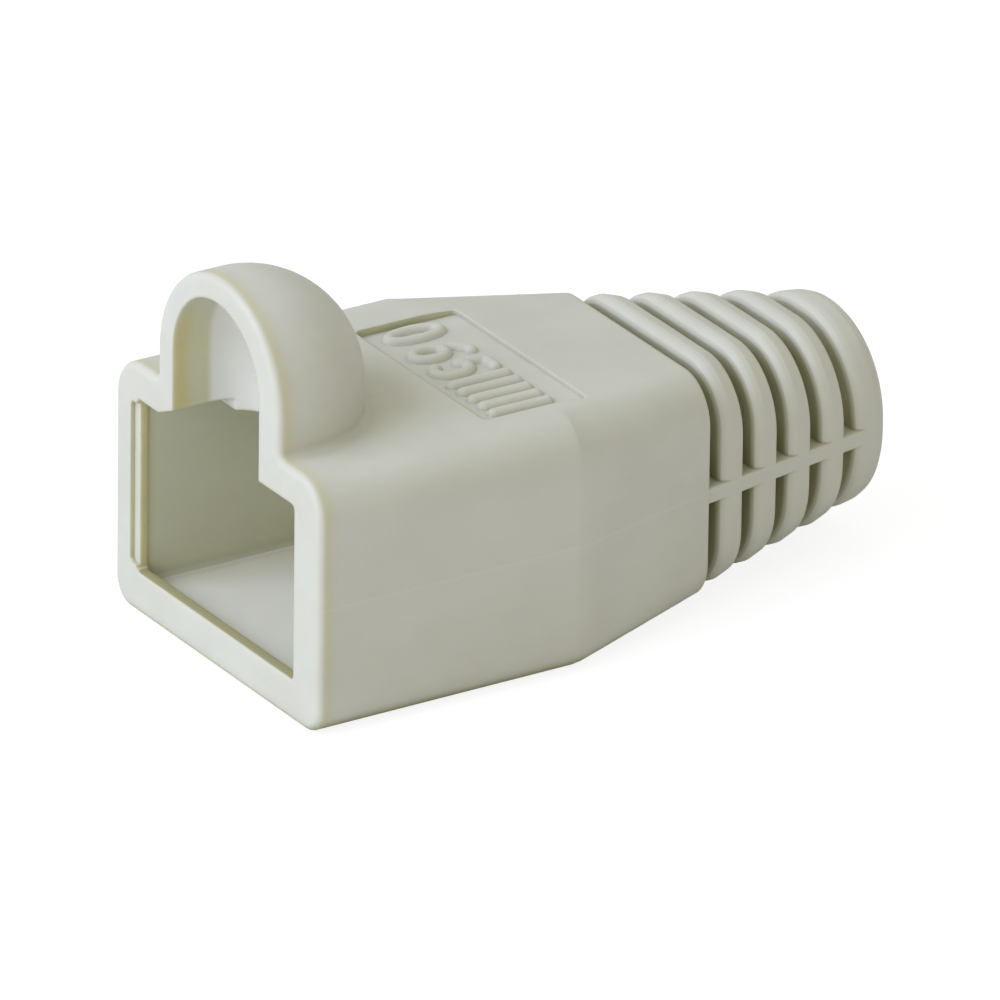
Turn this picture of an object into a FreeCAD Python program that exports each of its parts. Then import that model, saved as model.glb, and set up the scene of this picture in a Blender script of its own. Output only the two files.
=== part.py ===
"""Strain relief boot for a modular data plug: one piece, moulded in soft PVC.

Frame, in millimetres: X runs across the boot, +Y runs from the mouth that takes the plug to the
tail that the cable leaves by, and +Z is up. The boot stands on z = 0, with the origin under the
middle of its length. Inside the body, lengths along Y are counted from the mouth's face.
"""
import math
import os

import FreeCAD
import Part
import Sketcher

NODE = "strain_relief_boot"

doc = FreeCAD.newDocument("StrainReliefBoot")

# ---------------------------------------------------------------- driving dimensions

SIZES = {
    # what the boot fits
    "plug_width": 11.7,
    "plug_height": 8.0,
    "plug_clearance": 0.05,
    "cable_diameter": 6.5,
    # body: a straight box, then a taper
    "body_width": 15.2,
    "body_height": 10.61,
    "box_length": 12.1,
    "body_length": 18.9,
    "rear_width": 11.75,
    "rear_height": 9.61,
    "rear_foot": 0.38,
    "foot_radius": 1.1,
    "rear_foot_radius": 1.95,
    "shoulder_radius": 1.65,
    "taper_shoulder_radius": 1.85,
    "waist_run": 0.25,
    "face_rounding": 0.3,
    # mouth and cavity
    "floor_thickness": 1.15,
    "lip_height": 0.6,
    "lip_depth": 0.53,
    "mouth_radius": 0.25,
    "mouth_offset": -0.12,
    "rebate_width": 0.45,
    "rebate_depth": 0.18,
    "cavity_depth": 12.0,
    "cavity_relief": 0.15,
    "funnel_length": 4.0,
    "funnel_step": 0.2,
    # hood over the plug's latch
    "hood_radius": 4.5,
    "hood_wall": 1.3,
    "hood_axis_height": 12.0,
    "hood_straight": 1.4,
    "hood_base_radius": 0.3,
    "latch_rise": 0.3,
    "latch_depth": 3.8,
    "latch_rounding": 2.2,
    "flare_width": 1.05,
    "flare_height": 0.47,
    "flare_length": 2.7,
    # recess for the size mark
    "recess_width": 9.65,
    "recess_offset": 0.5,
    "recess_front": 8.87,
    "recess_length": 4.7,
    "recess_depth": 0.3,
    "recess_radius": 0.3,
    # tail
    "axis_height": 5.2,
    "ring_pitch": 1.79,
    "ring_gap": 0.7,
    "ring_count": 5,
    "end_ring_length": 1.75,
    "tail_width": 11.62,
    "tail_height": 9.82,
    "tail_radius": 2.4,
    "end_width": 8.0,
    "end_height": 8.4,
    "end_flat": 0.05,
    "end_rounding": 0.65,
    "ring_slope": 0.12,
    "ring_rounding": 0.36,
    "ring_rounding_length": 0.55,
    "bridge_height": 0.65,
    # how far cuts run past the faces that they open into, and how much thinner the tail's core is
    "cut_margin": 0.5,
}

sheet = doc.addObject("Spreadsheet::Sheet", "Sizes")
for row, (alias, value) in enumerate(SIZES.items(), start=1):
    sheet.set(f"A{row}", alias.replace("_", " "))
    sheet.set(f"B{row}", str(value))
    sheet.setAlias(f"B{row}", alias)
doc.recompute()


def size(alias):
    """The value of one cell of the sheet."""
    return float(sheet.get(alias))


TOUCH = 1e-4


def value_of(formula):
    """A formula's value, with the sheet's aliases written as Sizes.alias."""
    return float(sheet.evalExpression(formula))


# ---------------------------------------------------------------- the body and its sketches

body = doc.addObject("PartDesign::Body", "Boot")
body.Label = NODE
PLANES = {feature.Role: feature for feature in body.Origin.OriginFeatures}


def new_sketch(name, role, offset="0", shift="0"):
    """An empty sketch parallel to an origin plane, at a height and a sideways shift by formulas.

    XZ_Plane looks along +Y, so its sketches lie at y = offset, and their own y is the model's Z.
    """
    sketch = body.newObject("Sketcher::SketchObject", name)
    sketch.AttachmentSupport = [(PLANES[role], "")]
    sketch.MapMode = "FlatFace"
    sign = "-" if role == "XZ_Plane" else ""
    sketch.setExpression("AttachmentOffset.Base.z", f"{sign}1 mm * ({offset})")
    sketch.setExpression("AttachmentOffset.Base.x", f"1 mm * ({shift})")
    return sketch


def bind(sketch, kind, *places, formula):
    """A driving constraint whose value is a formula in the sheet's cells."""
    index = sketch.addConstraint(Sketcher.Constraint(kind, *places, value_of(formula)))
    sketch.setExpression(f"Constraints[{index}]", formula)


def add_line(sketch, start, end):
    return sketch.addGeometry(Part.LineSegment(FreeCAD.Vector(*start, 0), FreeCAD.Vector(*end, 0)))


def add_arc(sketch, centre, radius, first, last):
    """An arc from one angle to another, in degrees, counter-clockwise."""
    circle = Part.Circle(FreeCAD.Vector(*centre, 0), FreeCAD.Vector(0, 0, 1), radius)
    return sketch.addGeometry(Part.ArcOfCircle(circle, math.radians(first), math.radians(last)))


def join(sketch, kind, first, second):
    """Ties the end of one edge to the start of the next."""
    sketch.addConstraint(Sketcher.Constraint(kind, first, 2, second, 1))


def rounded_rectangle(sketch, left, right, low, high, radius, upper_radius=None):
    """A rectangle with rounded corners, the upper two with a radius of their own; all are formulas."""
    upper_radius = upper_radius or radius
    x0, x1, y0, y1, r, q = (
        value_of(formula) for formula in (left, right, low, high, radius, upper_radius)
    )
    edges = [
        add_line(sketch, (x0 + r, y0), (x1 - r, y0)),
        add_arc(sketch, (x1 - r, y0 + r), r, -90, 0),
        add_line(sketch, (x1, y0 + r), (x1, y1 - q)),
        add_arc(sketch, (x1 - q, y1 - q), q, 0, 90),
        add_line(sketch, (x1 - q, y1), (x0 + q, y1)),
        add_arc(sketch, (x0 + q, y1 - q), q, 90, 180),
        add_line(sketch, (x0, y1 - q), (x0, y0 + r)),
        add_arc(sketch, (x0 + r, y0 + r), r, 180, 270),
    ]
    for place, edge in enumerate(edges):
        join(sketch, "Tangent", edge, edges[(place + 1) % len(edges)])
    for flat in (edges[0], edges[4]):
        sketch.addConstraint(Sketcher.Constraint("Horizontal", flat))
    for upright in (edges[2], edges[6]):
        sketch.addConstraint(Sketcher.Constraint("Vertical", upright))
    for first, second in ((edges[1], edges[7]), (edges[3], edges[5])):
        sketch.addConstraint(Sketcher.Constraint("Equal", first, second))
    bind(sketch, "Radius", edges[1], formula=radius)
    bind(sketch, "Radius", edges[3], formula=upper_radius)
    bind(sketch, "DistanceX", edges[6], 1, formula=left)
    bind(sketch, "DistanceX", edges[2], 1, formula=right)
    bind(sketch, "DistanceY", edges[0], 1, formula=low)
    bind(sketch, "DistanceY", edges[4], 1, formula=high)
    return edges


def arch_profile(sketch, radius, low, axis):
    """A doorway shape: upright sides from low to axis, closed by a half circle."""
    r, z0, z1 = (value_of(formula) for formula in (radius, low, axis))
    edges = [
        add_line(sketch, (-r, z0), (r, z0)),
        add_line(sketch, (r, z0), (r, z1)),
        add_arc(sketch, (0, z1), r, 0, 180),
        add_line(sketch, (-r, z1), (-r, z0)),
    ]
    join(sketch, "Coincident", edges[0], edges[1])
    join(sketch, "Tangent", edges[1], edges[2])
    join(sketch, "Tangent", edges[2], edges[3])
    join(sketch, "Coincident", edges[3], edges[0])
    sketch.addConstraint(Sketcher.Constraint("Horizontal", edges[0]))
    sketch.addConstraint(Sketcher.Constraint("Vertical", edges[1]))
    sketch.addConstraint(Sketcher.Constraint("PointOnObject", edges[2], 3, -2))
    bind(sketch, "Radius", edges[2], formula=radius)
    bind(sketch, "DistanceY", edges[0], 1, formula=low)
    bind(sketch, "DistanceY", edges[2], 3, formula=axis)


def half_arch_profile(sketch, radius, low, axis):
    """The right half of the doorway shape, to be turned about the sketch's own upright axis."""
    r, z0, z1 = (value_of(formula) for formula in (radius, low, axis))
    edges = [
        add_line(sketch, (0, z0), (r, z0)),
        add_line(sketch, (r, z0), (r, z1)),
        add_arc(sketch, (0, z1), r, 0, 90),
        add_line(sketch, (0, z1 + r), (0, z0)),
    ]
    join(sketch, "Coincident", edges[0], edges[1])
    join(sketch, "Tangent", edges[1], edges[2])
    join(sketch, "Coincident", edges[2], edges[3])
    join(sketch, "Coincident", edges[3], edges[0])
    sketch.addConstraint(Sketcher.Constraint("Horizontal", edges[0]))
    sketch.addConstraint(Sketcher.Constraint("Vertical", edges[1]))
    sketch.addConstraint(Sketcher.Constraint("PointOnObject", edges[3], 1, -2))
    sketch.addConstraint(Sketcher.Constraint("PointOnObject", edges[3], 2, -2))
    sketch.addConstraint(Sketcher.Constraint("PointOnObject", edges[2], 3, -2))
    bind(sketch, "Radius", edges[2], formula=radius)
    bind(sketch, "DistanceY", edges[0], 1, formula=low)
    bind(sketch, "DistanceY", edges[2], 3, formula=axis)


built = []
volumes = [0.0]


def finish_feature(feature, grows):
    """Recomputes, and stops if the feature failed or left the volume as it was."""
    before = volumes[-1]
    doc.recompute()
    if not feature.isValid() or feature.Shape.isNull() or not feature.Shape.isValid():
        raise RuntimeError(f"{feature.Label} did not build")
    volume = feature.Shape.Volume
    if grows and volume <= before or not grows and volume >= before:
        raise RuntimeError(f"{feature.Label} changed nothing")
    built.append(feature)
    volumes.append(volume)


def loft(kind, name, sections):
    """A ruled additive or subtractive loft through sketches, in order."""
    feature = body.newObject(f"PartDesign::{kind}", name)
    feature.Profile = sections[0]
    feature.Sections = sections[1:]
    feature.Ruled = True
    finish_feature(feature, kind == "AdditiveLoft")
    return feature


def pad(name, sketch, length, midplane=False):
    """A pad towards the tail, or up and down alike from its sketch."""
    feature = body.newObject("PartDesign::Pad", name)
    feature.Profile = sketch
    feature.setExpression("Length", f"1 mm * ({length})")
    if midplane:
        feature.SideType = "Symmetric"
    else:
        feature.Reversed = True
    finish_feature(feature, True)
    return feature


def pocket(name, sketch, depth):
    """A pocket that runs towards the tail from an upright sketch, or down from a level one."""
    feature = body.newObject("PartDesign::Pocket", name)
    feature.Profile = sketch
    feature.setExpression("Length", f"1 mm * ({depth})")
    finish_feature(feature, False)
    return feature


def half_turn(name, sketch):
    """A half turn about the sketch's upright axis, on the side of the tail."""
    feature = body.newObject("PartDesign::Revolution", name)
    feature.Profile = sketch
    feature.ReferenceAxis = (sketch, ["V_Axis"])
    feature.Angle = 180
    feature.Reversed = False
    finish_feature(feature, True)
    return feature


def edges_within(low, high):
    """The latest feature's edges that lie in a box between two corners."""
    names = []
    for number, edge in enumerate(built[-1].Shape.Edges, start=1):
        span = edge.BoundBox
        above = (span.XMin - low[0], span.YMin - low[1], span.ZMin - low[2])
        below = (high[0] - span.XMax, high[1] - span.YMax, high[2] - span.ZMax)
        if min(above + below) > -TOUCH:
            names.append(f"Edge{number}")
    return names


def round_off(name, names, radius, grows):
    """A fillet along edges of the latest feature; it adds material in an inward corner."""
    feature = body.newObject("PartDesign::Fillet", name)
    feature.Base = (built[-1], names)
    feature.setExpression("Radius", f"1 mm * ({radius})")
    finish_feature(feature, grows)
    return feature


# ---------------------------------------------------------------- body: box and taper


def body_section(name, place, share="0"):
    """The body's section at a place along Y, a share of the way from the box to the rear."""

    def blend(start, end):
        return f"{start} + ({end} - ({start})) * ({share})"

    width = blend("Sizes.body_width", "Sizes.rear_width")
    section = new_sketch(name, "XZ_Plane", place)
    rounded_rectangle(
        section,
        f"-({width}) / 2",
        f"({width}) / 2",
        blend("0", "Sizes.rear_foot"),
        blend("Sizes.body_height", "Sizes.rear_foot + Sizes.rear_height"),
        blend("Sizes.foot_radius", "Sizes.rear_foot_radius"),
        "Sizes.shoulder_radius" if share == "0" else "Sizes.taper_shoulder_radius",
    )
    return section


waist_start = "(Sizes.box_length - Sizes.waist_run)"
taper_share = "Sizes.waist_run / (Sizes.body_length - Sizes.box_length)"
pad("Box", body_section("MouthSection", "0"), waist_start)

# ---------------------------------------------------------------- hood over the plug's latch

CEILING = "(Sizes.floor_thickness + Sizes.plug_height + Sizes.plug_clearance)"
hood_foot = f"(({CEILING} + Sizes.body_height) / 2)"

hood_face = new_sketch("HoodFace", "XZ_Plane")
arch_profile(hood_face, "Sizes.hood_radius", hood_foot, "Sizes.hood_axis_height")
pad("HoodArch", hood_face, "Sizes.hood_straight")
hood_side = new_sketch("HoodSide", "XZ_Plane", "Sizes.hood_straight")
half_arch_profile(hood_side, "Sizes.hood_radius", hood_foot, "Sizes.hood_axis_height")
half_turn("HoodDome", hood_side)
body_top = size("body_height")
hood_half = size("hood_radius")
foot_low = (-hood_half, 0, body_top)
foot_high = (hood_half, size("hood_straight") + hood_half, body_top)
round_off("HoodBase", edges_within(foot_low, foot_high), "Sizes.hood_base_radius", True)
in_face = edges_within((-math.inf, 0, -math.inf), (math.inf, 0, math.inf))
round_off("FaceRounding", in_face, "Sizes.face_rounding", False)
taper_sections = [
    body_section("WaistStart", waist_start),
    body_section("WaistEnd", "Sizes.box_length + Sizes.waist_run", taper_share),
    body_section("RearSection", "Sizes.body_length", "1"),
]
loft("AdditiveLoft", "Taper", taper_sections)


# ---------------------------------------------------------------- recess for the size mark

recess = new_sketch("RecessOutline", "XY_Plane", "Sizes.body_height")
rounded_rectangle(
    recess,
    "Sizes.recess_offset - Sizes.recess_width / 2",
    "Sizes.recess_offset + Sizes.recess_width / 2",
    "Sizes.recess_front",
    "Sizes.recess_front + Sizes.recess_length",
    "Sizes.recess_radius",
)
pocket("Recess", recess, "Sizes.recess_depth")

# ---------------------------------------------------------------- mouth, cavity and latch pocket

mouth_half = "(Sizes.plug_width / 2)"
cavity_half = "(Sizes.plug_width / 2 + Sizes.plug_clearance + Sizes.cavity_relief)"
mouth_left = f"(Sizes.mouth_offset - {mouth_half})"
mouth_right = f"(Sizes.mouth_offset + {mouth_half})"
lip_top = "(Sizes.floor_thickness + Sizes.lip_height)"

mouth = new_sketch("MouthOutline", "XZ_Plane")
rounded_rectangle(mouth, mouth_left, mouth_right, lip_top, CEILING, "Sizes.mouth_radius")
pocket("Mouth", mouth, "Sizes.lip_depth + Sizes.cut_margin")

cavity = new_sketch("CavityOutline", "XZ_Plane", "Sizes.lip_depth")
rounded_rectangle(
    cavity, f"-{cavity_half}", cavity_half, "Sizes.floor_thickness", CEILING, "Sizes.mouth_radius"
)
pocket("Cavity", cavity, "Sizes.cavity_depth - Sizes.lip_depth")

rebate = new_sketch("RebateOutline", "XZ_Plane")
rounded_rectangle(
    rebate,
    f"{mouth_left} - Sizes.rebate_width",
    "0",
    f"{lip_top} + Sizes.mouth_radius",
    f"{CEILING} - Sizes.mouth_radius",
    "Sizes.mouth_radius",
)
pocket("JambRebate", rebate, "Sizes.rebate_depth")

latch_radius = "(Sizes.hood_radius - Sizes.hood_wall)"
latch_axis = "(Sizes.hood_axis_height + Sizes.latch_rise)"
latch_foot = f"({CEILING} - Sizes.cut_margin)"
latch_face = new_sketch("LatchFace", "XZ_Plane", shift="Sizes.mouth_offset")
arch_profile(latch_face, latch_radius, latch_foot, latch_axis)
pocket("LatchArch", latch_face, "Sizes.latch_depth")
latch_back = size("latch_depth")
ceiling = value_of(CEILING)
back_edges = edges_within((-math.inf, latch_back, ceiling), (math.inf, latch_back, math.inf))
sill = edges_within((-math.inf, latch_back, ceiling), (math.inf, latch_back, ceiling))
inner_corner = [name for name in back_edges if name not in sill]
round_off("LatchRounding", inner_corner, "Sizes.latch_rounding", True)


def slot_flare():
    """Opens out the left edge of the slot by which the latch passes through the ceiling."""
    wall = f"(Sizes.mouth_offset - {latch_radius})"
    outer = f"({wall} - Sizes.flare_width)"
    inner = f"({wall} + Sizes.cut_margin)"
    top = f"({CEILING} + Sizes.flare_height)"
    low = f"({CEILING} - Sizes.cut_margin)"
    x0, wall_x, x1, z0, ceiling_z, z1 = (
        value_of(formula) for formula in (outer, wall, inner, low, CEILING, top)
    )
    sketch = new_sketch("FlareOutline", "XZ_Plane")
    corners = [(x0, z0), (x1, z0), (x1, z1), (wall_x, z1), (x0, ceiling_z)]
    edges = [add_line(sketch, start, end) for start, end in zip(corners, corners[1:] + corners[:1])]
    for place, edge in enumerate(edges):
        join(sketch, "Coincident", edge, edges[(place + 1) % len(edges)])
    for level in (edges[0], edges[2]):
        sketch.addConstraint(Sketcher.Constraint("Horizontal", level))
    for upright in (edges[1], edges[4]):
        sketch.addConstraint(Sketcher.Constraint("Vertical", upright))
    bind(sketch, "DistanceX", edges[0], 1, formula=outer)
    bind(sketch, "DistanceX", edges[0], 2, formula=inner)
    bind(sketch, "DistanceX", edges[3], 1, formula=wall)
    bind(sketch, "DistanceY", edges[0], 1, formula=low)
    bind(sketch, "DistanceY", edges[2], 1, formula=top)
    bind(sketch, "DistanceY", edges[4], 1, formula=CEILING)
    pocket("SlotFlare", sketch, "Sizes.flare_length")


slot_flare()

# ---------------------------------------------------------------- tail: crowned rings and bridges

TAIL_LENGTH = "(Sizes.ring_pitch * (Sizes.ring_count - 1) + Sizes.ring_gap + Sizes.end_ring_length)"
TAIL_END = f"(Sizes.body_length + {TAIL_LENGTH})"
ring_total = int(size("ring_count"))
ROUNDING_STEPS = 3
bore_radius = "Sizes.cable_diameter / 2"


def axis_circle(name, place, radius):
    """A circle on the tail's axis."""
    sketch = new_sketch(name, "XZ_Plane", place)
    centre = FreeCAD.Vector(0, value_of("Sizes.axis_height"), 0)
    circle = sketch.addGeometry(Part.Circle(centre, FreeCAD.Vector(0, 0, 1), value_of(radius)))
    sketch.addConstraint(Sketcher.Constraint("PointOnObject", circle, 3, -2))
    bind(sketch, "Radius", circle, formula=radius)
    bind(sketch, "DistanceY", circle, 3, formula="Sizes.axis_height")
    return sketch


def axis_halves(name, place, radius):
    """A circle on the tail's axis as a right and a left half, so that a bore's wall is two faces."""
    sketch = new_sketch(name, "XZ_Plane", place)
    centre = (0, value_of("Sizes.axis_height"))
    right = add_arc(sketch, centre, value_of(radius), -90, 90)
    left = add_arc(sketch, centre, value_of(radius), 90, 270)
    for point in (1, 2, 3):
        sketch.addConstraint(Sketcher.Constraint("PointOnObject", right, point, -2))
    sketch.addConstraint(Sketcher.Constraint("Coincident", right, 2, left, 1))
    sketch.addConstraint(Sketcher.Constraint("Coincident", left, 2, right, 1))
    sketch.addConstraint(Sketcher.Constraint("PointOnObject", left, 3, -2))
    bind(sketch, "Radius", right, formula=radius)
    bind(sketch, "DistanceY", right, 3, formula="Sizes.axis_height")
    return sketch


def along_tail(start, end, place):
    """A size that changes evenly from the tail's start to its end, at a place along Y."""
    share = f"(({place}) - Sizes.body_length) / {TAIL_LENGTH}"
    return f"({start} + ({end} - {start}) * {share})"


def tail_width_at(place):
    return along_tail("Sizes.tail_width", "Sizes.end_width", place)


def tail_height_at(place):
    return along_tail("Sizes.tail_height", "Sizes.end_height", place)


def tail_radius_at(place):
    """The corner radius; at the tail's end the corners leave only a short flat on the shorter side."""
    end_radius = "(min(Sizes.end_width; Sizes.end_height) / 2 - Sizes.end_flat)"
    return along_tail("Sizes.tail_radius", end_radius, place)


def ring_section(name, place, middle, inset="0", sink="0"):
    """A ring's outline at a place along Y, smaller all round by an inset and less tall by a sink.

    Its corners keep the radius that the tail has at the ring's middle.
    """
    half_width = f"({tail_width_at(place)} / 2 - {inset})"
    half_height = f"({tail_height_at(place)} / 2 - {inset} - {sink})"
    section = new_sketch(name, "XZ_Plane", place)
    rounded_rectangle(
        section,
        f"-{half_width}",
        half_width,
        f"Sizes.axis_height - {half_height}",
        f"Sizes.axis_height + {half_height}",
        f"{tail_radius_at(middle)} - {inset}",
    )
    return section


def ring_front(number):
    """Where a ring begins along Y, past the gap before it."""
    return f"(Sizes.body_length + Sizes.ring_pitch * {number} + Sizes.ring_gap)"


def rounding_steps(depth, length):
    """How far an edge's rounding lies inside the outline and how far along it, step by step."""
    steps = []
    for step in range(ROUNDING_STEPS + 1):
        angle = f"{90 * step / ROUNDING_STEPS} deg"
        steps.append((f"{depth} * (1 - sin({angle}))", f"{length} * (1 - cos({angle}))"))
    return steps


def ring(number):
    """One ring: a rounded front edge, a slight slope, and a crisp back edge or the tail's round end."""
    label = f"Ring{number + 1}"
    front = ring_front(number)
    last = number == ring_total - 1
    back = TAIL_END if last else f"({front} + Sizes.ring_pitch - Sizes.ring_gap)"
    middle = TAIL_END if last else f"({front} + {back}) / 2"
    sections = []
    for inset, along in rounding_steps("Sizes.ring_rounding", "Sizes.ring_rounding_length"):
        name = f"{label}Section{len(sections) + 1}"
        sections.append(ring_section(name, f"{front} + {along}", middle, inset))
    if last:
        for inset, along in reversed(rounding_steps("Sizes.end_rounding", "Sizes.end_rounding")):
            name = f"{label}Section{len(sections) + 1}"
            sections.append(ring_section(name, f"{back} - {along}", middle, inset))
    else:
        sections.append(ring_section(f"{label}Back", back, middle, sink="Sizes.ring_slope"))
    loft("AdditiveLoft", label, sections)


def bridge_plate():
    """A thin level plate as wide as the tail; the bore leaves only its two edges, the bridges."""
    end = f"({ring_front(ring_total - 1)} + Sizes.end_ring_length / 3)"
    start_half = value_of("Sizes.tail_width / 2")
    end_half = value_of(f"{tail_width_at(end)} / 2")
    y0, y1 = value_of("Sizes.body_length"), value_of(end)
    outline = new_sketch("BridgeOutline", "XY_Plane", "Sizes.axis_height")
    edges = [
        add_line(outline, (-start_half, y0), (start_half, y0)),
        add_line(outline, (start_half, y0), (end_half, y1)),
        add_line(outline, (end_half, y1), (-end_half, y1)),
        add_line(outline, (-end_half, y1), (-start_half, y0)),
    ]
    for place, edge in enumerate(edges):
        join(outline, "Coincident", edge, edges[(place + 1) % len(edges)])
    for level in (edges[0], edges[2]):
        outline.addConstraint(Sketcher.Constraint("Symmetric", level, 1, level, 2, -2))
    bind(outline, "DistanceX", edges[0], 2, formula="Sizes.tail_width / 2")
    bind(outline, "DistanceX", edges[2], 1, formula=f"{tail_width_at(end)} / 2")
    bind(outline, "DistanceY", edges[0], 1, formula="Sizes.body_length")
    bind(outline, "DistanceY", edges[2], 1, formula=end)
    pad("Bridges", outline, "Sizes.bridge_height", midplane=True)


core = axis_circle("CoreOutline", "Sizes.body_length", f"{bore_radius} - Sizes.cut_margin")
pad("TailCore", core, f"{TAIL_LENGTH} - Sizes.end_ring_length / 2")
for number in range(ring_total):
    ring(number)
bridge_plate()

# ---------------------------------------------------------------- funnel and cable bore

funnel_end = "(Sizes.cavity_depth + Sizes.funnel_length)"
funnel_radius = "(Sizes.plug_height / 2 - Sizes.funnel_step)"
funnel_mouth = axis_circle("FunnelMouth", "Sizes.cavity_depth", funnel_radius)
funnel_neck = axis_circle("FunnelNeck", funnel_end, bore_radius)
loft("SubtractiveLoft", "Funnel", [funnel_mouth, funnel_neck])

bore = axis_halves("BoreOutline", funnel_end, bore_radius)
cable_bore = pocket("CableBore", bore, f"{TAIL_END} - {funnel_end} + Sizes.cut_margin")
cable_bore.Refine = False
doc.recompute()

# ---------------------------------------------------------------- check and write

body.Tip = body.Group[-1]
body.setExpression("Placement.Base.y", f"-1 mm * {TAIL_END} / 2")
doc.recompute()
for item in doc.Objects:
    if {"Invalid", "Error"} & set(item.State):
        raise RuntimeError(f"{item.Label} failed: {item.State}")
if body.Shape.isNull() or not body.Shape.isValid() or len(body.Shape.Solids) != 1:
    raise RuntimeError(f"{NODE} is not one valid solid")

os.makedirs("parts", exist_ok=True)
body.Shape.exportStep(f"parts/{NODE}.step")
box = body.Shape.optimalBoundingBox()
print(f"{NODE}: {body.Shape.Volume:.1f} mm3, {box.XLength:.2f} x {box.YLength:.2f} x {box.ZLength:.2f} mm")
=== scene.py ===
"""Looks of the strain relief boot: soft moulded PVC, a raised size mark, a pale floor and soft light.

Everything is in metres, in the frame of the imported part: +Y runs from the mouth to the tail.
"""
import math

import bmesh
import bpy
from mathutils import Matrix, Vector


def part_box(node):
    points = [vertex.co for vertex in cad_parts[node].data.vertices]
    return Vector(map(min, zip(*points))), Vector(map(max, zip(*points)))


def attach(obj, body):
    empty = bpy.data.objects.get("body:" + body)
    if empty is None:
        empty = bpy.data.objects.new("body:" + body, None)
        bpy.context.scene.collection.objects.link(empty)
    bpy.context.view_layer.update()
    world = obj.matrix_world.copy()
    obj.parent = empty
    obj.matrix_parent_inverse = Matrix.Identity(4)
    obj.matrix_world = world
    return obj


NODE = "strain_relief_boot"
MM = 0.001

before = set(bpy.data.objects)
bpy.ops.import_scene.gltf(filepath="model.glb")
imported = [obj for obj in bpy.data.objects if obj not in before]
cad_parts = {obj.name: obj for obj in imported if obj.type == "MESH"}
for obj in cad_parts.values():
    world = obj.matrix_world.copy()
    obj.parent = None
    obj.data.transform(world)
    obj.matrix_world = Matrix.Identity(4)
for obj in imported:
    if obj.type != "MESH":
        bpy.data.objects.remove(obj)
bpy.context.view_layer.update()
low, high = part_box(NODE)
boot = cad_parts[NODE]
front_y = low.y
scene = bpy.context.scene


# ---------------------------------------------------------------- node helpers

def new_material(name):
    """An empty node material and its tree."""
    material = bpy.data.materials.new(name)
    material.use_nodes = True
    material.node_tree.nodes.clear()
    return material, material.node_tree


def add_node(tree, kind, **values):
    """A node of a kind, with input sockets set by name."""
    node = tree.nodes.new(kind)
    for socket, value in values.items():
        node.inputs[socket.replace("_", " ")].default_value = value
    return node


def link(tree, source, target):
    """A link between two sockets; a plain number is set on the target."""
    if isinstance(source, (int, float)):
        target.default_value = source
    else:
        tree.links.new(source, target)


def number(tree, operation, *sources):
    """The result of a Math node."""
    node = tree.nodes.new("ShaderNodeMath")
    node.operation = operation
    for socket, source in zip(node.inputs, sources):
        link(tree, source, socket)
    return node.outputs["Value"]


def ramp(tree, source, start, end, from_value=0.0, to_value=1.0):
    """A smooth change between two values as the source goes from start to end."""
    node = tree.nodes.new("ShaderNodeMapRange")
    node.interpolation_type = "SMOOTHSTEP"
    link(tree, source, node.inputs["Value"])
    node.inputs["From Min"].default_value = start
    node.inputs["From Max"].default_value = end
    node.inputs["To Min"].default_value = from_value
    node.inputs["To Max"].default_value = to_value
    return node.outputs["Result"]


def blend_colour(tree, amount, first, second, kind="MIX"):
    """A blend of two colours; each is a socket or a plain colour."""
    node = tree.nodes.new("ShaderNodeMix")
    node.data_type = "RGBA"
    node.blend_type = kind
    link(tree, amount, node.inputs["Factor"])
    for socket, source in zip((node.inputs[6], node.inputs[7]), (first, second)):
        if isinstance(source, tuple):
            socket.default_value = source
        else:
            tree.links.new(source, socket)
    return node.outputs[2]


def noise(tree, place, scale, detail=3.0, stretch=(1, 1, 1)):
    """A noise texture; a small stretch value draws it out along that axis."""
    mapping = tree.nodes.new("ShaderNodeMapping")
    mapping.inputs["Scale"].default_value = stretch
    tree.links.new(place, mapping.inputs["Vector"])
    node = add_node(tree, "ShaderNodeTexNoise", Scale=scale, Detail=detail, Roughness=0.55)
    tree.links.new(mapping.outputs["Vector"], node.inputs["Vector"])
    return node.outputs["Fac"]


def within(tree, *ranges):
    """One where every coordinate is inside its own range, nought elsewhere."""
    result = 1.0
    for value, start, end in ranges:
        above = number(tree, "GREATER_THAN", value, start)
        below = number(tree, "LESS_THAN", value, end)
        result = number(tree, "MULTIPLY", number(tree, "MULTIPLY", above, below), result)
    return result


# ---------------------------------------------------------------- soft PVC

PVC_IOR = 1.5
SUBSURFACE_WEIGHT = 0.25
SUBSURFACE_SCALE = 0.6 * MM
SUBSURFACE_RADIUS = (1.0, 0.9, 0.6)

PVC_LOW = (0.592, 0.583, 0.475, 1)
PVC_HIGH = (0.622, 0.616, 0.505, 1)
CLOUD_SCALE = 260.0
FLOW_SCALE = 700.0
FLOW_STRETCH = (1.0, 0.18, 1.0)
FLOW_SHARE = 0.35
CLOUDY_FROM = 0.35
CLOUDY_TO = 0.65

CAVITY_HALF = 5.94 * MM
CAVITY_LOW = low.z + 1.0 * MM
CAVITY_HIGH = low.z + 9.3 * MM
CAVITY_START = front_y + 0.02 * MM
CAVITY_END = front_y + 12.3 * MM
# Painted glow: the cavity's colour brightens from the mouth inwards, standing for light through the thin
# walls.
GLOW_FULL = front_y + 9 * MM
GLOW_AT_MOUTH = 0.55
INNER_GLOW = (0.88, 0.855, 0.72, 1)
# Painted glow: walls facing the middle plane are made a touch yellower and brighter.
INWARD_PAINTED_GLOW = (1.03, 1.04, 0.95, 1)
INWARD_FROM = -0.8
INWARD_TO = -0.98

HOOD_MIDDLE = low.z + 12.0 * MM
HOOD_STRAIGHT = front_y + 1.4 * MM
POCKET_REACH = 3.85 * MM
POCKET_START = front_y + 0.1 * MM
FLANK_END = front_y + 1.5 * MM
FLANK_FADE = 0.4 * MM
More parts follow.
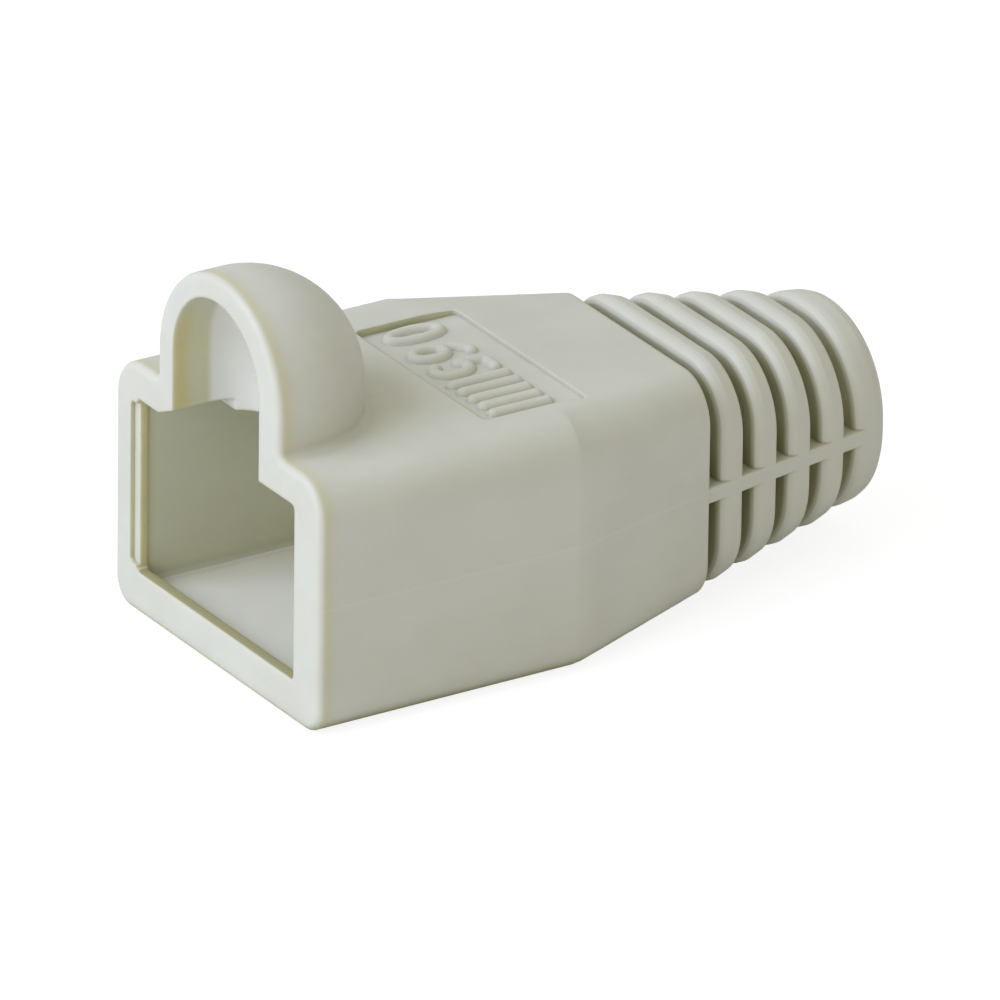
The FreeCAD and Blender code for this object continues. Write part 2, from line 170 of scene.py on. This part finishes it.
# Painted shade: the pocket's side walls near the mouth are made darker and yellower.
FLANK_PAINTED_SHADE = (0.97, 0.955, 0.85, 1)
# Painted light: the pocket's back wall is made brighter.
BACK_GLOW = (0.76, 0.76, 0.70, 1)

STREAK = (0.60, 0.60, 0.36, 1)
STREAK_SCALE = 2600.0
STREAK_STRETCH = (1.0, 1.0, 0.12)
STREAK_FROM = 0.45
STREAK_TO = 0.7
STREAK_AMOUNT = 0.5

# Painted shade: the lip's top just behind the mouth is made dark olive.
LIP_PAINTED_SHADE = (0.30, 0.28, 0.10, 1)
LIP_START = front_y + 0.06 * MM
LIP_END = front_y + 0.56 * MM
LIP_TOP = low.z + 2.0 * MM
LIP_FACING_FROM = 0.5
LIP_FACING_TO = 0.9
LIP_AMOUNT = 0.75

RIM = (0.985, 0.955, 0.80, 1)
RIM_RISE = (front_y + 0.14 * MM, front_y + 0.3 * MM)
RIM_FALL = (front_y + 0.95 * MM, front_y + 0.35 * MM)
# Painted glow: the jambs' inward walls near the mouth are made yellower.
JAMB_PAINTED_GLOW = (1.0, 0.95, 0.83, 1)
JAMB_FALL = (front_y + 1.1 * MM, front_y + 0.5 * MM)

EDGE = (0.70, 0.66, 0.46, 1)
EDGE_RADIUS = 0.2 * MM
EDGE_SAMPLES = 8
EDGE_TURN = (0.995, 0.9)
EDGE_OPEN = (0.8, 0.97)
EDGE_AMOUNT = 0.75
# Painted shade: hollows and gaps, found by occlusion, are made darker and warmer.
CREVICE_PAINTED_SHADE = (0.34, 0.325, 0.13, 1)
CREVICE_REACH = 1.3 * MM
CREVICE_SAMPLES = 8
CREVICE_FROM = 0.75
CREVICE_TO = 0.1
CREVICE_AMOUNT = 0.88

PARTING = (0.75, 0.74, 0.66, 1)
PARTING_Z = low.z + 5.4 * MM
PARTING_HALF = 0.07 * MM
PARTING_END = high.y - 4.5 * MM
PARTING_FADE = 2 * MM
PARTING_FACING_FROM = 0.7
PARTING_FACING_TO = 0.9
PARTING_AMOUNT = 0.18
PARTING_RAISE = 0.6

GLOSS_SCALE = 1500.0
GLOSS_FROM = 0.3
GLOSS_TO = 0.7
ROUGHNESS_LOW = 0.44
ROUGHNESS_HIGH = 0.53
GRAIN_SCALE = 9000.0
WANDER_SCALE = 450.0
WANDER_SHARE = 1.2
BUMP_STRENGTH = 0.14
BUMP_DISTANCE = 0.01 * MM


def coordinates(tree, vector):
    """The X, Y and Z of a vector, as three sockets."""
    node = tree.nodes.new("ShaderNodeSeparateXYZ")
    tree.links.new(vector, node.inputs["Vector"])
    return node.outputs["X"], node.outputs["Y"], node.outputs["Z"]


def cloudy_plastic(tree, place):
    """The plain colour: cloudy, with faint flow marks drawn out along the boot."""
    clouds = noise(tree, place, CLOUD_SCALE)
    flow = noise(tree, place, FLOW_SCALE, 2.0, FLOW_STRETCH)
    clouds = number(tree, "MULTIPLY", clouds, 1 - FLOW_SHARE)
    cloudy = number(tree, "MULTIPLY_ADD", flow, FLOW_SHARE, clouds)
    return blend_colour(tree, ramp(tree, cloudy, CLOUDY_FROM, CLOUDY_TO), PVC_LOW, PVC_HIGH)


def pocket_mask(tree, across, along, up):
    """One in the hood's pocket: near the hood's axis, over the cavity and behind the front face."""
    beyond = number(tree, "MAXIMUM", number(tree, "SUBTRACT", along, HOOD_STRAIGHT), 0.0)
    above = number(tree, "MAXIMUM", number(tree, "SUBTRACT", up, HOOD_MIDDLE), 0.0)
    reach = tree.nodes.new("ShaderNodeCombineXYZ")
    for socket, source in zip(reach.inputs, (across, beyond, above)):
        tree.links.new(source, socket)
    length = tree.nodes.new("ShaderNodeVectorMath")
    length.operation = "LENGTH"
    tree.links.new(reach.outputs["Vector"], length.inputs[0])
    near = (length.outputs["Value"], -MM, POCKET_REACH)
    return within(tree, near, (up, CAVITY_HIGH, high.z), (along, POCKET_START, CAVITY_END))


def inner_colour(tree, colour, place, spot, side, facing_up):
    """Painted light and shade inside: painted glow, standing for light through the thin walls, brightens
    the cavity deeper in and the pocket back and makes walls facing the middle olive; painted shade darkens
    the pocket flanks and the lip's top; the streaks are the plastic's own.
    """
    across, along, up = spot
    width = (across, -MM, CAVITY_HALF)
    in_cavity = within(tree, width, (up, CAVITY_LOW, CAVITY_HIGH), (along, CAVITY_START, CAVITY_END))
    # Painted glow: brighter deeper in the cavity.
    bright = ramp(tree, along, front_y, GLOW_FULL, GLOW_AT_MOUTH, 1.0)
    colour = blend_colour(tree, number(tree, "MULTIPLY", in_cavity, bright), colour, INNER_GLOW)

    in_pocket = pocket_mask(tree, across, along, up)
    flank = ramp(tree, along, FLANK_END + FLANK_FADE, FLANK_END)
    flank = number(tree, "MULTIPLY", in_pocket, flank)
    pocket_back = number(tree, "SUBTRACT", in_pocket, flank)
    # Painted light on the pocket's back wall.
    colour = blend_colour(tree, pocket_back, colour, BACK_GLOW)
    inward = ramp(tree, side, INWARD_FROM, INWARD_TO)
    inward = number(tree, "SUBTRACT", inward, pocket_back)
    # Painted glow on the walls that face the middle plane.
    colour = blend_colour(tree, inward, colour, INWARD_PAINTED_GLOW, "MULTIPLY")
    # Painted shade on the pocket's side walls.
    colour = blend_colour(tree, flank, colour, FLANK_PAINTED_SHADE, "MULTIPLY")

    streak = noise(tree, place, STREAK_SCALE, 3.0, STREAK_STRETCH)
    streak = ramp(tree, streak, STREAK_FROM, STREAK_TO)
    streak = number(tree, "MULTIPLY", streak, number(tree, "MULTIPLY", inward, in_cavity))
    colour = blend_colour(tree, number(tree, "MULTIPLY", streak, STREAK_AMOUNT), colour, STREAK)

    # Painted shade: dark olive on the lip's top.
    lip = within(tree, width, (up, CAVITY_LOW, LIP_TOP), (along, LIP_START, LIP_END))
    lip = number(tree, "MULTIPLY", lip, ramp(tree, facing_up, LIP_FACING_FROM, LIP_FACING_TO))
    return blend_colour(tree, number(tree, "MULTIPLY", lip, LIP_AMOUNT), colour, LIP_PAINTED_SHADE)


def rim_colour(tree, colour, along, side):
    """A yellower band just behind the front face, stronger on the jambs, where it is painted glow of light
    through the thin walls.
    """
    rim = number(tree, "MULTIPLY", ramp(tree, along, *RIM_RISE), ramp(tree, along, *RIM_FALL))
    colour = blend_colour(tree, rim, colour, RIM, "MULTIPLY")
    inward = ramp(tree, side, INWARD_FROM, INWARD_TO)
    # Painted glow on the jambs.
    jamb = number(tree, "MULTIPLY", inward, ramp(tree, along, *JAMB_FALL))
    return blend_colour(tree, jamb, colour, JAMB_PAINTED_GLOW, "MULTIPLY")


def edge_colour(tree, colour, normal, soft_normal):
    """Open corners are a touch yellower; gaps get painted shade, warmer and darker."""
    agree = tree.nodes.new("ShaderNodeVectorMath")
    agree.operation = "DOT_PRODUCT"
    tree.links.new(soft_normal, agree.inputs[0])
    tree.links.new(normal, agree.inputs[1])
    hidden = tree.nodes.new("ShaderNodeAmbientOcclusion")
    hidden.samples = CREVICE_SAMPLES
    hidden.inputs["Distance"].default_value = CREVICE_REACH
    openness = hidden.outputs["AO"]
    corner = ramp(tree, agree.outputs["Value"], *EDGE_TURN)
    corner = number(tree, "MULTIPLY", corner, ramp(tree, openness, *EDGE_OPEN))
    colour = blend_colour(tree, number(tree, "MULTIPLY", corner, EDGE_AMOUNT), colour, EDGE)
    # Painted shade in hollows and gaps.
    crevice_shade = ramp(tree, openness, CREVICE_FROM, CREVICE_TO)
    return blend_colour(tree, number(tree, "MULTIPLY", crevice_shade, CREVICE_AMOUNT), colour, CREVICE_PAINTED_SHADE)


def parting_line(tree, along, up, side):
    """How much of the faint parting line is here; it runs along both outer sides."""
    away = number(tree, "ABSOLUTE", number(tree, "SUBTRACT", up, PARTING_Z))
    line = ramp(tree, away, PARTING_HALF, 0.0)
    line = number(tree, "MULTIPLY", line, ramp(tree, side, PARTING_FACING_FROM, PARTING_FACING_TO))
    fade = ramp(tree, along, PARTING_END, PARTING_END - PARTING_FADE)
    return number(tree, "MULTIPLY", line, fade)


def fine_bump(tree, place, line, soft_normal):
    """The surface normal with fine grain, slow waves and the parting line."""
    grain = noise(tree, place, GRAIN_SCALE, 2.0)
    wander = noise(tree, place, WANDER_SCALE, 2.0)
    height = number(tree, "MULTIPLY_ADD", wander, WANDER_SHARE, grain)
    height = number(tree, "MULTIPLY_ADD", line, PARTING_RAISE, height)
    bump = add_node(tree, "ShaderNodeBump", Strength=BUMP_STRENGTH, Distance=BUMP_DISTANCE)
    tree.links.new(height, bump.inputs["Height"])
    tree.links.new(soft_normal, bump.inputs["Normal"])
    return bump.outputs["Normal"]


def soft_pvc():
    """Light warm grey soft PVC: satin, a little translucent, with faint flow marks and grain."""
    material, tree = new_material("soft_pvc")
    output = tree.nodes.new("ShaderNodeOutputMaterial")
    shader = tree.nodes.new("ShaderNodeBsdfPrincipled")
    shader.inputs["IOR"].default_value = PVC_IOR
    shader.inputs["Subsurface Weight"].default_value = SUBSURFACE_WEIGHT
    shader.inputs["Subsurface Scale"].default_value = SUBSURFACE_SCALE
    shader.inputs["Subsurface Radius"].default_value = SUBSURFACE_RADIUS
    tree.links.new(shader.outputs["BSDF"], output.inputs["Surface"])

    place = tree.nodes.new("ShaderNodeTexCoord").outputs["Object"]
    normal = tree.nodes.new("ShaderNodeNewGeometry").outputs["Normal"]
    soft_edge = tree.nodes.new("ShaderNodeBevel")
    soft_edge.samples = EDGE_SAMPLES
    soft_edge.inputs["Radius"].default_value = EDGE_RADIUS
    soft_normal = soft_edge.outputs["Normal"]
    x, along, up = coordinates(tree, place)
    facing_x, _, facing_up = coordinates(tree, normal)
    across = number(tree, "ABSOLUTE", x)
    # 1 on a wall that faces away from the middle plane, -1 on one that faces it.
    side = number(tree, "MULTIPLY", number(tree, "SIGN", x), facing_x)

    colour = cloudy_plastic(tree, place)
    colour = inner_colour(tree, colour, place, (across, along, up), side, facing_up)
    colour = rim_colour(tree, colour, along, side)
    colour = edge_colour(tree, colour, normal, soft_normal)
    line = parting_line(tree, along, up, side)
    colour = blend_colour(tree, number(tree, "MULTIPLY", line, PARTING_AMOUNT), colour, PARTING)
    tree.links.new(colour, shader.inputs["Base Color"])

    gloss = noise(tree, place, GLOSS_SCALE, 2.0)
    roughness = ramp(tree, gloss, GLOSS_FROM, GLOSS_TO, ROUGHNESS_LOW, ROUGHNESS_HIGH)
    tree.links.new(roughness, shader.inputs["Roughness"])
    tree.links.new(fine_bump(tree, place, line, soft_normal), shader.inputs["Normal"])
    return material


pvc = soft_pvc()
boot.data.materials.clear()
boot.data.materials.append(pvc)


# ---------------------------------------------------------------- raised size mark

# The floor's height is in metres; the other sizes of the mark are in millimetres, in plan from the mouth.
MARK_FLOOR = low.z + 10.31 * MM
MARK_HEIGHT = 0.24
MARK_HALF_STROKE = 0.29
MARK_SINK = 0.06
MARK_STEP = 0.05
MARK_LOW = 9.8
MARK_HIGH = 12.3
BAR_PLACES = (1.5, 2.25, 3.0, 3.75, 4.5)
BAR_HALF_STROKE = 0.31
BAR_TOP_GAP = 0.1
MARK_LEFT = -4.3
MARK_RIGHT = 5.35
MARK_FRONT = MARK_LOW - 0.4
MARK_BACK = MARK_HIGH + 0.35
ROUND_TOP_POWER = 2.6
STROKE_REACH = 1.25
STROKE_MARGIN = 0.5
ARC_STEPS = 20


def arc(centre, radii, start, end, steps=ARC_STEPS):
    """Points along part of an oval; angles in degrees, anticlockwise from +X."""
    points = []
    for step in range(steps + 1):
        angle = math.radians(start + (end - start) * step / steps)
        x = centre[0] + radii[0] * math.cos(angle)
        y = centre[1] + radii[1] * math.sin(angle)
        points.append((x, y))
    return points


def mark_strokes():
    """Plain numerals 0, 6 and 5, then five plain bars: each a line of points and a half width."""
    middle = (MARK_LOW + MARK_HIGH) / 2
    half = (MARK_HIGH - MARK_LOW) / 2
    top = MARK_HIGH - BAR_TOP_GAP
    nought = arc((-3.36, middle), (0.45, half - 0.1), 0, 360, 36)
    six_bowl = arc((-1.45, MARK_LOW + 0.75), (0.48, 0.7), 0, 360, 30)
    six_stem = arc((-0.85, MARK_LOW + 0.85), (1.08, half * 2 - 0.9), 180, 100)
    five_top = [(0.75, top), (-0.05, top), (-0.15, middle + 0.15)]
    five_bowl = arc((0.2, MARK_LOW + 0.75), (0.52, 0.75), 135, -140)
    numerals = (nought, six_bowl, six_stem, five_top + five_bowl)
    strokes = [(line, MARK_HALF_STROKE) for line in numerals]
    for place in BAR_PLACES:
        strokes.append(([(place, MARK_LOW), (place, top)], BAR_HALF_STROKE))
    return strokes


def gap_to_line(x, y, line):
    """Shortest way from a point to a line of points."""
    nearest = 1e9
    for (ax, ay), (bx, by) in zip(line, line[1:]):
        dx, dy = bx - ax, by - ay
        along = ((x - ax) * dx + (y - ay) * dy) / max(dx * dx + dy * dy, 1e-12)
        along = min(max(along, 0.0), 1.0)
        nearest = min(nearest, math.hypot(x - ax - along * dx, y - ay - along * dy))
    return nearest


def mark_height(x, y, strokes):
    """Height of the mark over the recess floor: round-topped strokes, just under the floor elsewhere."""
    top = -MARK_SINK
    for line, half in strokes:
        first = min(point[0] for point in line) - STROKE_MARGIN
        last = max(point[0] for point in line) + STROKE_MARGIN
        if not first < x < last:
            continue
        ratio = gap_to_line(x, y, line) / half
        if ratio < STROKE_REACH:
            top = max(top, MARK_HEIGHT * (1 - ratio ** ROUND_TOP_POWER))
    return top


def size_mark(name):
    """The raised mark as one closed mesh, its skirt sunk in the recess floor."""
    strokes = mark_strokes()
    columns = round((MARK_RIGHT - MARK_LEFT) / MARK_STEP)
    rows = round((MARK_BACK - MARK_FRONT) / MARK_STEP)
    heights = {}
    for i in range(columns + 1):
        for j in range(rows + 1):
            x, y = MARK_LEFT + i * MARK_STEP, MARK_FRONT + j * MARK_STEP
            heights[i, j] = mark_height(x, y, strokes)
    cells = []
    for i in range(columns):
        for j in range(rows):
            corners = [(i, j), (i + 1, j), (i + 1, j + 1), (i, j + 1)]
            if max(heights[c] for c in corners) > -MARK_SINK:
                cells.append(corners)
    used = sorted({corner for cell in cells for corner in cell})
    form = bmesh.new()
    tops, bottoms = {}, {}
    for i, j in used:
        x = (MARK_LEFT + i * MARK_STEP) * MM
        y = front_y + (MARK_FRONT + j * MARK_STEP) * MM
        tops[i, j] = form.verts.new((x, y, MARK_FLOOR + heights[i, j] * MM))
        bottoms[i, j] = form.verts.new((x, y, MARK_FLOOR - 2 * MARK_SINK * MM))
    edges = {}
    for cell in cells:
        form.faces.new([tops[c] for c in cell])
        form.faces.new([bottoms[c] for c in reversed(cell)])
        for a, b in zip(cell, cell[1:] + cell[:1]):
            edges[a, b] = edges.get((a, b), 0) + 1
    for a, b in edges:
        if (b, a) not in edges:
            form.faces.new([tops[b], tops[a], bottoms[a], bottoms[b]])
    mesh = bpy.data.meshes.new(name)
    form.to_mesh(mesh)
    form.free()
    for face in mesh.polygons:
        face.use_smooth = True
    mesh.materials.append(pvc)
    mark = bpy.data.objects.new(name, mesh)
    scene.collection.objects.link(mark)
    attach(mark, "root")


size_mark("size_mark")


# ---------------------------------------------------------------- floor and light

FLOOR_HALF = 1.5
FLOOR_COLOUR = (0.8, 0.8, 0.8, 1)
FLOOR_SEEN_GREY = 0.24
FLOOR_SEEN_GLOW = 0.86


def pale_floor():
    """A level floor that shows white but keeps the object's shadow."""
    mesh = bpy.data.meshes.new("floor")
    form = bmesh.new()
    bmesh.ops.create_grid(form, x_segments=1, y_segments=1, size=FLOOR_HALF)
    form.to_mesh(mesh)
    form.free()
    floor = bpy.data.objects.new("floor", mesh)
    floor.location.z = low.z
    scene.collection.objects.link(floor)

    material, tree = new_material("pale_floor")
    output = tree.nodes.new("ShaderNodeOutputMaterial")
    path = tree.nodes.new("ShaderNodeLightPath")
    plain = add_node(tree, "ShaderNodeBsdfDiffuse", Color=FLOOR_COLOUR)
    grey = (FLOOR_SEEN_GREY, FLOOR_SEEN_GREY, FLOOR_SEEN_GREY, 1)
    seen = add_node(tree, "ShaderNodeBsdfDiffuse", Color=grey)
    glow = add_node(tree, "ShaderNodeEmission", Strength=FLOOR_SEEN_GLOW)
    both = tree.nodes.new("ShaderNodeAddShader")
    mix = tree.nodes.new("ShaderNodeMixShader")
    tree.links.new(seen.outputs["BSDF"], both.inputs[0])
    tree.links.new(glow.outputs["Emission"], both.inputs[1])
    tree.links.new(path.outputs["Is Camera Ray"], mix.inputs["Fac"])
    tree.links.new(plain.outputs["BSDF"], mix.inputs[1])
    tree.links.new(both.outputs["Shader"], mix.inputs[2])
    tree.links.new(mix.outputs["Shader"], output.inputs["Surface"])
    mesh.materials.append(material)
    return floor


pale_floor()

WORLD_COLOUR = (1.0, 0.97, 0.9, 1)
WORLD_STRENGTH = 0.54
WHITE = (1.0, 1.0, 1.0, 1)
LAMP_DISTANCE = 0.5


def white_world():
    """Even light from all round; the camera sees plain white."""
    world = bpy.data.worlds.new("studio")
    world.use_nodes = True
    tree = world.node_tree
    tree.nodes.clear()
    output = tree.nodes.new("ShaderNodeOutputWorld")
    path = tree.nodes.new("ShaderNodeLightPath")
    light = add_node(tree, "ShaderNodeBackground", Color=WORLD_COLOUR, Strength=WORLD_STRENGTH)
    white = add_node(tree, "ShaderNodeBackground", Color=WHITE, Strength=1.0)
    mix = tree.nodes.new("ShaderNodeMixShader")
    tree.links.new(path.outputs["Is Camera Ray"], mix.inputs["Fac"])
    tree.links.new(light.outputs["Background"], mix.inputs[1])
    tree.links.new(white.outputs["Background"], mix.inputs[2])
    tree.links.new(mix.outputs["Shader"], output.inputs["Surface"])
    scene.world = world


white_world()


def direction(azimuth, elevation):
    """Unit vector towards a compass place; azimuth 0 is in front of the mouth, 90 on the right."""
    a, e = math.radians(azimuth), math.radians(elevation)
    return Vector((math.sin(a) * math.cos(e), -math.cos(a) * math.cos(e), math.sin(e)))


def soft_lamp(name, azimuth, elevation, width, watts, colour):
    """A square soft box that faces the middle of the boot."""
    data = bpy.data.lights.new(name, "AREA")
    data.shape = "SQUARE"
    data.size = width
    data.energy = watts
    data.color = colour
    lamp = bpy.data.objects.new(name, data)
    towards = direction(azimuth, elevation)
    lamp.location = (low + high) / 2 + towards * LAMP_DISTANCE
    lamp.rotation_mode = "QUATERNION"
    lamp.rotation_quaternion = (-towards).to_track_quat("-Z", "Y")
    scene.collection.objects.link(lamp)


# Azimuth and elevation in degrees, width in metres, watts, colour.
LAMPS = {
    "key": (-12, 38, 0.35, 1.92, (0.60, 0.685, 1.0)),
    "fill": (15, 15, 0.35, 0.6, (1.0, 1.0, 0.97)),
    "top": (-20, 85, 0.4, 0.36, (0.74, 0.88, 1.0)),
}
for lamp_name, (azimuth, elevation, width, watts, colour) in LAMPS.items():
    soft_lamp(lamp_name, azimuth, elevation, width, watts, colour)


# ---------------------------------------------------------------- camera

CAMERA_AZIMUTH = 57.551
CAMERA_ELEVATION = 24.666
CAMERA_ROLL = 0.753
CAMERA_DISTANCE = 0.760
CAMERA_LENS = 704.6
CAMERA_AIM = Vector((3.531, -3.512, 6.062)) * MM
SENSOR_WIDTH = 36
CLIP_START = 0.01
CLIP_END = 10


def photo_camera():
    """The camera that gives the photograph's view of the boot."""
    data = bpy.data.cameras.new("camera")
    data.sensor_width = SENSOR_WIDTH
    data.lens = CAMERA_LENS
    data.clip_start = CLIP_START
    data.clip_end = CLIP_END
    camera = bpy.data.objects.new("camera", data)
    back = direction(CAMERA_AZIMUTH, CAMERA_ELEVATION)
    a = math.radians(CAMERA_AZIMUTH)
    right = Vector((math.cos(a), math.sin(a), 0))
    up = back.cross(right)
    r = math.radians(CAMERA_ROLL)
    turned_right = right * math.cos(r) + up * math.sin(r)
    turned_up = -right * math.sin(r) + up * math.cos(r)
    turn = Matrix((turned_right, turned_up, back)).transposed()
    camera.rotation_mode = "QUATERNION"
    camera.rotation_quaternion = turn.to_quaternion()
    camera.location = CAMERA_AIM + back * CAMERA_DISTANCE
    scene.collection.objects.link(camera)
    scene.camera = camera


photo_camera()
scene.view_settings.view_transform = "Standard"
